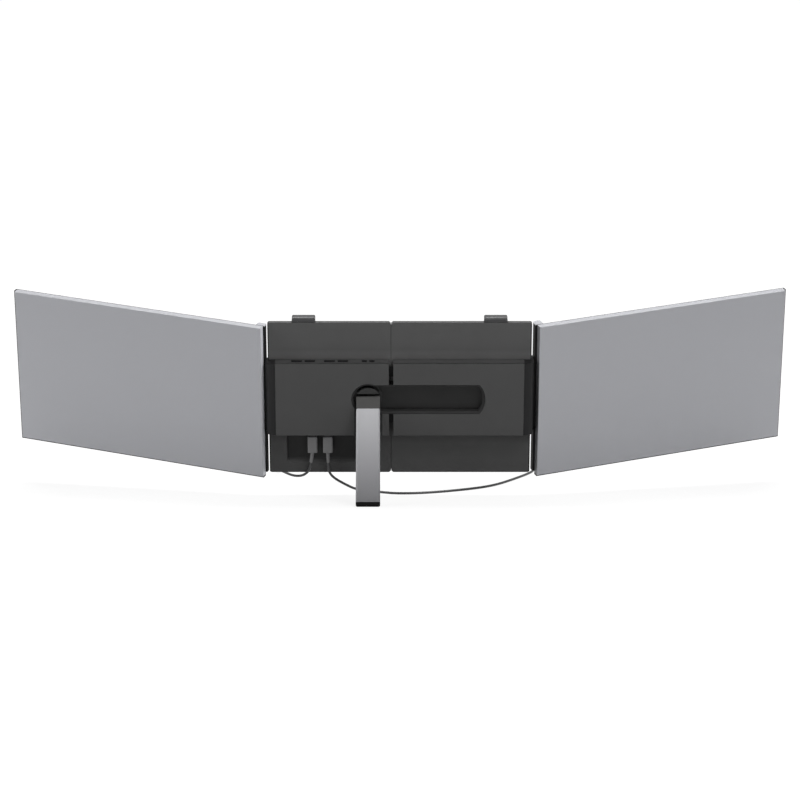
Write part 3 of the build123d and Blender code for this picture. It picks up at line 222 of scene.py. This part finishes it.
class Recipe:
    """A node material on one Principled shader, with small helpers for its textures."""

    def __init__(self, name, color, roughness, metallic=0.0, **sockets):
        self.material = bpy.data.materials.new(name)
        self.material.use_nodes = True
        tree = self.material.node_tree
        self.nodes, self.links = tree.nodes, tree.links
        self.shader = self.nodes["Principled BSDF"]
        self.shader.inputs["Base Color"].default_value = (*color, 1)
        self.shader.inputs["Roughness"].default_value = roughness
        self.shader.inputs["Metallic"].default_value = metallic
        for socket, value in sockets.items():
            self.shader.inputs[socket.replace("_", " ")].default_value = value
        self.color = color
        self.material.diffuse_color = (*color, 1)
        self.place = self.nodes.new("ShaderNodeTexCoord").outputs["Object"]

    def stretched(self, scale):
        mapping = self.nodes.new("ShaderNodeMapping")
        mapping.inputs["Scale"].default_value = scale
        self.links.new(self.place, mapping.inputs["Vector"])
        return mapping.outputs[0]

    def noise(self, grain_mm, detail=3.0, place=None):
        """Noise whose grains are about grain_mm across."""
        node = self.nodes.new("ShaderNodeTexNoise")
        node.inputs["Scale"].default_value = 1 / (grain_mm * MM)
        node.inputs["Detail"].default_value = detail
        self.links.new(place or self.place, node.inputs["Vector"])
        return node.outputs["Fac"]

    def spread(self, value, low, high):
        node = self.nodes.new("ShaderNodeMapRange")
        node.inputs["From Min"].default_value, node.inputs["From Max"].default_value = NOISE_RANGE
        node.inputs["To Min"].default_value = low
        node.inputs["To Max"].default_value = high
        self.links.new(value, node.inputs["Value"])
        return node.outputs["Result"]

    def shade(self, value, depth):
        """Vary the base colour by a share of itself either way."""
        node = self.nodes.new("ShaderNodeMix")
        node.data_type = "RGBA"
        node.inputs["A"].default_value = (*(part * (1 - depth) for part in self.color), 1)
        node.inputs["B"].default_value = (*(min(part * (1 + depth), 1) for part in self.color), 1)
        self.links.new(value, node.inputs["Factor"])
        self.links.new(node.outputs["Result"], self.shader.inputs["Base Color"])

    def paint_crevice_shade(self, reach_mm):
        """Painted shade: deepen the base colour where another surface comes close, as shade falls in creases
        and between parts.
        """
        before = self.shader.inputs["Base Color"].links[0].from_socket
        near = self.nodes.new("ShaderNodeAmbientOcclusion")
        near.samples = CREVICE_SAMPLES
        near.inputs["Distance"].default_value = reach_mm * MM
        ramp = self.nodes.new("ShaderNodeMapRange")
        ramp.inputs["From Min"].default_value, ramp.inputs["From Max"].default_value = OPEN_RANGE
        ramp.inputs["To Min"].default_value = CREVICE_SHADE
        self.links.new(near.outputs["AO"], ramp.inputs["Value"])
        scaled = self.nodes.new("ShaderNodeVectorMath")
        scaled.operation = "SCALE"
        self.links.new(before, scaled.inputs[0])
        self.links.new(ramp.outputs["Result"], scaled.inputs["Scale"])
        self.links.new(scaled.outputs[0], self.shader.inputs["Base Color"])

    def tint(self, value, tone):
        """Scale the base colour by a tone, as far as a value from 0 to 1 says."""
        before = self.shader.inputs["Base Color"].links[0].from_socket
        node = self.nodes.new("ShaderNodeMix")
        node.data_type = "RGBA"
        node.blend_type = "MULTIPLY"
        node.clamp_result = False
        node.inputs["B"].default_value = (tone, tone, tone, 1)
        self.links.new(value, node.inputs["Factor"])
        self.links.new(before, node.inputs["A"])
        self.links.new(node.outputs["Result"], self.shader.inputs["Base Color"])
        return node

    def between(self, source, direction, start, end):
        """0 before one reach of a vector along a direction, 1 after another."""
        reach = self.nodes.new("ShaderNodeVectorMath")
        reach.operation = "DOT_PRODUCT"
        reach.inputs[1].default_value = direction
        self.links.new(source, reach.inputs[0])
        ramp = self.nodes.new("ShaderNodeMapRange")
        ramp.inputs["From Min"].default_value = start
        ramp.inputs["From Max"].default_value = end
        self.links.new(reach.outputs["Value"], ramp.inputs["Value"])
        return ramp.outputs["Result"]

    def along(self, direction, start_mm, end_mm):
        """0 before one place along a direction, 1 after another."""
        return self.between(self.place, direction, start_mm * MM, end_mm * MM)

    def edges(self, radius_mm):
        """Soft rounding of the solids' sharp edges, as a normal."""
        node = self.nodes.new("ShaderNodeBevel")
        node.samples = EDGE_SAMPLES
        node.inputs["Radius"].default_value = radius_mm * MM
        return node.outputs["Normal"]

    def bump(self, value, height_mm, normal=None, strength=0.6):
        node = self.nodes.new("ShaderNodeBump")
        node.inputs["Strength"].default_value = strength
        node.inputs["Distance"].default_value = height_mm * MM
        self.links.new(value, node.inputs["Height"])
        if normal is not None:
            self.links.new(normal, node.inputs["Normal"])
        self.links.new(node.outputs["Normal"], self.shader.inputs["Normal"])

    def rough(self, value, low, high):
        self.links.new(self.spread(value, low, high), self.shader.inputs["Roughness"])


def moulded_plastic(name, color, roughness=0.5, grain_mm=0.35, edge_mm=0.35, gloss=0.2,
                    crevice_shade_mm=0.0):
    """Spark-eroded texture with faint cloudiness, as on injection-moulded casings, and painted shade in
    creases when a crevice reach is given.
    """
    recipe = Recipe(name, color, roughness, Specular_IOR_Level=gloss)
    grain = recipe.noise(grain_mm, 2.0)
    recipe.shade(recipe.noise(grain_mm=35.0, detail=4.0), depth=0.06)
    # painted shade in creases and between parts, when a crevice reach is given
    if crevice_shade_mm:
        recipe.paint_crevice_shade(crevice_shade_mm)
    recipe.rough(recipe.noise(grain_mm=9.0, detail=3.0), roughness - 0.05, roughness + 0.06)
    recipe.bump(grain, height_mm=0.02, normal=recipe.edges(edge_mm))
    return recipe.material


def blasted_aluminium(name, color, roughness=0.42, metallic=0.12, edge_mm=0.3):
    """Anodised aluminium with a bead-blasted face, with painted light toward the foot, painted light on its
    walls that face right and painted shade on its walls that face left.
    """
    recipe = Recipe(name, color, roughness, metallic)
    recipe.shade(recipe.noise(grain_mm=0.22, detail=1.0), depth=0.05)
    facing = recipe.nodes["Texture Coordinate"].outputs["Normal"]
    # painted light on the covers, growing toward their foot
    recipe.tint(recipe.along(PLATE_UP, *COVER_HEIGHTS), COVER_FOOT_PAINTED_LIGHT)
    # painted light on walls that face right and painted shade on walls that face left, both changing toward
    # the foot
    lower = recipe.along(PLATE_UP, *WALL_HEIGHTS)
    for direction, top_tone, foot_tone in WALL_PAINTED_LIGHT_AND_SHADE:
        tone = recipe.nodes.new("ShaderNodeMix")
        tone.data_type = "RGBA"
        tone.inputs["A"].default_value = (top_tone, top_tone, top_tone, 1)
        tone.inputs["B"].default_value = (foot_tone, foot_tone, foot_tone, 1)
        recipe.links.new(lower, tone.inputs["Factor"])
        multiply = recipe.tint(recipe.between(facing, direction, *WALL_FACING), 1)
        recipe.links.new(tone.outputs["Result"], multiply.inputs["B"])
    recipe.rough(recipe.noise(grain_mm=60.0, detail=3.0), roughness - 0.03, roughness + 0.04)
    recipe.bump(recipe.noise(grain_mm=0.3, detail=2.0), height_mm=0.012, normal=recipe.edges(edge_mm))
    return recipe.material


def leg_aluminium_painted_shade(name, top_color, foot_color):
    """Satin aluminium, with painted shade that deepens toward the foot, as its light does."""
    recipe = Recipe(name, top_color, 0.34, 0.3)
    # painted shade: the tone runs from the top colour at the leg's top to the foot colour at its foot
    low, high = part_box("stand_leg")
    ramp = recipe.nodes.new("ShaderNodeMapRange")
    ramp.inputs["From Min"].default_value = high[2]
    ramp.inputs["From Max"].default_value = low[2]
    axes = recipe.nodes.new("ShaderNodeSeparateXYZ")
    recipe.links.new(recipe.place, axes.inputs[0])
    recipe.links.new(axes.outputs["Z"], ramp.inputs["Value"])
    tone = recipe.nodes.new("ShaderNodeMix")
    tone.data_type = "RGBA"
    tone.inputs["A"].default_value = (*top_color, 1)
    tone.inputs["B"].default_value = (*foot_color, 1)
    recipe.links.new(ramp.outputs["Result"], tone.inputs["Factor"])
    recipe.links.new(tone.outputs["Result"], recipe.shader.inputs["Base Color"])
    recipe.rough(recipe.noise(grain_mm=30.0, detail=3.0), 0.31, 0.38)
    recipe.bump(recipe.noise(grain_mm=0.3, detail=2.0), height_mm=0.012, normal=recipe.edges(radius_mm=0.3))
    return recipe.material


def plate_plastic_painted_light_and_shade(name, color):
    """The casings' texture on the plate, with painted light and painted shade by height above, beside and
    below the housing, painted shade along its two ends and painted shade in its crevices.
    """
    recipe = Recipe(name, color, 0.5, Specular_IOR_Level=0.08)
    recipe.shade(recipe.noise(grain_mm=35.0, detail=4.0), depth=0.06)
    # painted light and painted shade by height up the plate
    for heights, tone in PLATE_PAINTED_LIGHT_AND_SHADE:
        recipe.tint(recipe.along(PLATE_UP, *heights), tone)
    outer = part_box("right_plate")[1][0] / MM
    band = [outer - inset for inset in PLATE_EDGE_BAND]
    # painted shade along the plate's two outer ends
    for way in (RIGHT, -RIGHT):
        recipe.tint(recipe.along(way, *band), PLATE_EDGE_PAINTED_SHADE)
    # painted shade in creases and between parts
    recipe.paint_crevice_shade(1.4)
    recipe.rough(recipe.noise(grain_mm=9.0, detail=3.0), 0.45, 0.56)
    recipe.bump(recipe.noise(grain_mm=0.35, detail=2.0), height_mm=0.02, normal=recipe.edges(radius_mm=0.35))
    return recipe.material


def bay_plastic_painted_highlight_and_shade(name, color):
    """Inside of the port bay, with a painted highlight on its sloping lower lip and painted shade in its
    crevices.
    """
    recipe = Recipe(name, color, 0.6, Specular_IOR_Level=0.06)
    recipe.shade(recipe.noise(grain_mm=35.0, detail=4.0), depth=0.06)
    # painted highlight on the sloping lower lip
    recipe.tint(recipe.along(PLATE_UP, *BAY_LIP), BAY_LIP_PAINTED_HIGHLIGHT)
    # painted shade in creases and between parts
    recipe.paint_crevice_shade(1.2)
    recipe.rough(recipe.noise(grain_mm=9.0, detail=3.0), 0.55, 0.66)
    recipe.bump(recipe.noise(grain_mm=0.35, detail=2.0), height_mm=0.02, normal=recipe.edges(radius_mm=0.35))
    return recipe.material


def plug_moulding(name, color):
    """Grip and relief of a cable's plug: fine texture, painted shade on the neck under the housing, and
    painted shade in its crevices.
    """
    recipe = Recipe(name, color, 0.48, Specular_IOR_Level=0.1)
    recipe.shade(recipe.noise(grain_mm=12.0, detail=3.0), depth=0.06)
    # painted shade on the neck, which sits in shadow under the housing
    recipe.tint(recipe.along(PLATE_UP, *PLUG_NECK), PLUG_NECK_PAINTED_SHADE)
    # painted shade in creases and between parts
    recipe.paint_crevice_shade(1.5)
    recipe.rough(recipe.noise(grain_mm=6.0, detail=3.0), 0.42, 0.54)
    recipe.bump(recipe.noise(grain_mm=0.2, detail=2.0), height_mm=0.02, normal=recipe.edges(radius_mm=0.35))
    return recipe.material


def brushed_metal(name, color, roughness=0.3, along=(1.0, 1.0, 40.0)):
    """Steel with fine drawn lines."""
    recipe = Recipe(name, color, roughness, 1.0)
    lines = recipe.noise(grain_mm=1.6, detail=2.0, place=recipe.stretched(along))
    recipe.shade(lines, depth=0.12)
    recipe.rough(lines, roughness - 0.06, roughness + 0.08)
    recipe.bump(lines, height_mm=0.01, normal=recipe.edges(radius_mm=0.15))
    return recipe.material


def soft_rubber(name, color, roughness=0.75):
    recipe = Recipe(name, color, roughness, Specular_IOR_Level=0.04)
    recipe.shade(recipe.noise(grain_mm=6.0, detail=4.0), depth=0.15)
    recipe.rough(recipe.noise(grain_mm=2.5, detail=3.0), roughness - 0.08, roughness + 0.1)
    recipe.bump(recipe.noise(grain_mm=0.5, detail=3.0), height_mm=0.03, normal=recipe.edges(radius_mm=0.4))
    return recipe.material


def display_glass(name):
    """Switched-off panel: near black under a semi-gloss polariser."""
    recipe = Recipe(name, (0.004, 0.0045, 0.006), 0.2, Specular_IOR_Level=0.25, Coat_Weight=0.1,
                    Coat_Roughness=0.08)
    recipe.shade(recipe.noise(grain_mm=120.0, detail=2.0), depth=0.2)
    recipe.rough(recipe.noise(grain_mm=0.12, detail=1.0), 0.13, 0.2)
    recipe.bump(recipe.noise(grain_mm=0.15, detail=1.0), height_mm=0.002)
    return recipe.material


def solder_mask(name):
    recipe = Recipe(name, (0.012, 0.07, 0.035), 0.35, Coat_Weight=0.4, Coat_Roughness=0.2)
    tracks = recipe.noise(grain_mm=1.4, detail=0.0, place=recipe.stretched((1.0, 0.2, 3.0)))
    recipe.shade(tracks, depth=0.4)
    recipe.bump(tracks, height_mm=0.03, normal=recipe.edges(radius_mm=0.1))
    return recipe.material


def cable_jacket(name):
    recipe = Recipe(name, (0.022, 0.022, 0.0235), 0.42)
    recipe.shade(recipe.noise(grain_mm=4.0, detail=3.0), depth=0.1)
    recipe.rough(recipe.noise(grain_mm=1.5, detail=2.0), 0.36, 0.5)
    recipe.bump(recipe.noise(grain_mm=0.25, detail=2.0), height_mm=0.012)
    return recipe.material


def make_materials():
    # The crevice reaches below paint shade into creases and between parts.
    return {
        "plate_dark": plate_plastic_painted_light_and_shade("plate plastic", (0.072, 0.072, 0.072)),
        "housing_dark": moulded_plastic("housing plastic", (0.058, 0.058, 0.058), 0.5, gloss=0.08,
                                        crevice_shade_mm=1.2),
        "cover_black": moulded_plastic("inner plastic", (0.026, 0.026, 0.026), 0.6, gloss=0.06,
                                       crevice_shade_mm=1.6),
        "silver_back": blasted_aluminium("silver back", (0.282, 0.285, 0.303)),
        "leg_silver": leg_aluminium_painted_shade("leg aluminium", (0.412, 0.412, 0.428), (0.130, 0.130, 0.137)),
        "frame_black": moulded_plastic("bezel plastic", (0.009, 0.009, 0.0095), 0.5, gloss=0.1),
        "display": display_glass("display"),
        "hinge_black": moulded_plastic("hinge paint", (0.015, 0.015, 0.0155), 0.5, 0.25, 0.5, 0.1,
                                       crevice_shade_mm=3.0),
        "steel": brushed_metal("drawn steel", (0.55, 0.55, 0.56)),
        "spring_steel": brushed_metal("spring steel", (0.4, 0.4, 0.42)),
        "foot_rubber": soft_rubber("foot rubber", (0.007, 0.007, 0.007)),
        "pad_rubber": soft_rubber("silicone pad", (0.02, 0.02, 0.022)),
        "clip_satin": moulded_plastic("clip finish", (0.036, 0.036, 0.037), 0.34, 0.25, 0.5, 0.25),
        "key_black": moulded_plastic("key plastic", (0.005, 0.005, 0.0055), 0.5, gloss=0.06),
        "circuit_board": solder_mask("circuit board"),
        "plug_plastic": plug_moulding("plug moulding", (0.15, 0.15, 0.152)),
        "cable_jacket": cable_jacket("cable jacket"),
    }


def special_finishes():
    """Nodes whose tone differs a little from the rest of their slot."""
    # The crevice reaches below paint shade into creases and between parts, widest on the turntable.
    return {
        "knuckle": moulded_plastic("knuckle finish", (0.067, 0.066, 0.065), 0.45, gloss=0.1,
                                   crevice_shade_mm=0.8),
        "port_bay": bay_plastic_painted_highlight_and_shade("port bay", (0.026, 0.026, 0.026)),
        "turntable": moulded_plastic("turntable finish", (0.03, 0.03, 0.03), 0.5, gloss=0.1,
                                     crevice_shade_mm=4.0),
    }


def dress_nodes(materials):
    """Every carried-over node takes the finish of its slot in the record."""
    special = special_finishes()
    for part in RECORD["subparts"]:
        node = bpy.data.objects[part["node"]]
        material = special.get(part["node"], materials[part["material_slot"]])
        node.data.materials.clear()
        node.data.materials.append(material)


# ---- Cables -------------------------------------------------------------------------------
CORD_D = 0.003
CORD_ROUNDNESS = 4       # bevel steps in a quarter of the section
CORD_SMOOTHNESS = 5      # steps between control points
ON_TABLE = -0.02684      # height of a cord's middle where it lies on the table
CORD_ROUTE = {
    "cable_1": [(-0.10512, -0.01402, 0.01212), (-0.10602, -0.0122, 0.00595),
                (-0.1090, -0.00965, -0.0004), (-0.1155, -0.0055, -0.0058),
                (-0.1262, 0.0025, -0.0074), (-0.1370, 0.018, -0.0060),
                (-0.1450, 0.045, -0.0072), (-0.1535, 0.080, -0.013), (-0.153, 0.115, -0.0195),
                (-0.149, 0.148, -0.0256), (-0.142, 0.172, ON_TABLE),
                (-0.129, 0.188, ON_TABLE), (-0.113, 0.194, ON_TABLE),
                (-0.097, 0.194, ON_TABLE)],
    "cable_2": [(-0.085, -0.01399, 0.01202), (-0.085, -0.01115, 0.00243),
                (-0.0805, -0.007, -0.0065), (-0.0675, -0.0035, -0.0152),
                (-0.050, 0.0, -0.0242), (-0.022, 0.002, ON_TABLE),
                (-0.004, -0.0075, ON_TABLE), (0.030, -0.0038, ON_TABLE),
                (0.072, 0.015, ON_TABLE), (0.112, 0.043, ON_TABLE), (0.141, 0.093, ON_TABLE),
                (0.165, 0.142, ON_TABLE), (0.168, 0.174, ON_TABLE), (0.169, 0.199, ON_TABLE),
                (0.181, 0.211, ON_TABLE), (0.196, 0.211, ON_TABLE)]}
COIL_MID_R = {"cable_1": 0.01575, "cable_2": 0.0175}
COIL_COLUMNS = {"cable_1": 3, "cable_2": 2}
COIL_LEAD = 0.0115
COIL_TAIL = 0.012
TAIL_SHARES = (0.45, 0.75, 1.0)   # where the tail's points are, the first still on the coil
COIL_POINTS = 24         # control points in each turn
INWARD = (0.85, 1.0)     # part of a lower turn over which it steps inward
CLIMB = (0.65, 0.83)     # part of the last lower turn over which it climbs
OUTWARD = (0.47, 0.65)   # part of an upper turn over which it steps outward
PLUG_AXIS_Z = 0.0032     # middle of a plug that lies on the table


def eased(turn, window, whole):
    """0 before a window of a given turn, 1 after it, and a smooth step between."""
    share = (turn - whole - window[0]) / (window[1] - window[0])
    share = min(max(share, 0.0), 1.0)
    return share * share * (3 - 2 * share)


def coil_step(turn, columns):
    """How many diameters inward and how many layers up the cord is after some turns."""
    inward = sum(eased(turn, INWARD, whole) for whole in range(columns - 1))
    climb = eased(turn, CLIMB, columns - 1)
    outward = sum(eased(turn, OUTWARD, columns + whole) for whole in range(columns - 1))
    return inward - outward, climb


def coil_points(name):
    """Two flat layers of turns, wound inward below and outward above, and the tail."""
    route = CORD_ROUTE[name]
    end = Vector(route[-1])
    way = 1 if end.x > route[-2][0] else -1
    columns = COIL_COLUMNS[name]
    outermost = COIL_MID_R[name] + (columns - 1) * CORD_D / 2
    centre = end + Vector((way * COIL_LEAD, -outermost, 0))
    turns = 2 * columns - 1
    points = []
    for number in range(turns * COIL_POINTS + 1):
        turn = number / COIL_POINTS
        inward, climb = coil_step(turn, columns)
        radius = outermost - inward * CORD_D
        angle = 2 * pi * turn
        points.append(centre + Vector((way * radius * sin(angle), radius * cos(angle),
                                       climb * CORD_D)))
    top = points[-1]
    plug_z = TABLE_Z + PLUG_AXIS_Z
    for share, height in zip(TAIL_SHARES, (top.z, plug_z, plug_z)):
        points.append(Vector((top.x + way * COIL_TAIL * share, top.y, height)))
    return points


def make_cord(name, material):
    points = [Vector(point) for point in CORD_ROUTE[name]] + coil_points(name)
    curve = bpy.data.curves.new(f"{name}_line", "CURVE")
    curve.dimensions = "3D"
    curve.bevel_depth = CORD_D / 2
    curve.bevel_resolution = CORD_ROUNDNESS
    curve.resolution_u = CORD_SMOOTHNESS
    curve.use_fill_caps = True
    spline = curve.splines.new("NURBS")
    spline.points.add(len(points) - 1)
    for target, point in zip(spline.points, points):
        target.co = (*point, 1)
    spline.order_u = 3
    spline.use_endpoint_u = True
    cord = bpy.data.objects.new(f"{name}_line", curve)
    bpy.context.collection.objects.link(cord)
    curve.materials.append(material)
    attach(cord, "left_half")
    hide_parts(f"{name}_cord", f"{name}_coil")


# ---- Scene --------------------------------------------------------------------------------
def main():
    scene = bpy.context.scene
    scene.view_settings.view_transform = "Standard"
    make_camera()
    make_world()
    make_floor()
    make_lights()
    materials = make_materials()
    dress_nodes(materials)
    for name in CORD_ROUTE:
        make_cord(name, materials["cable_jacket"])


main()
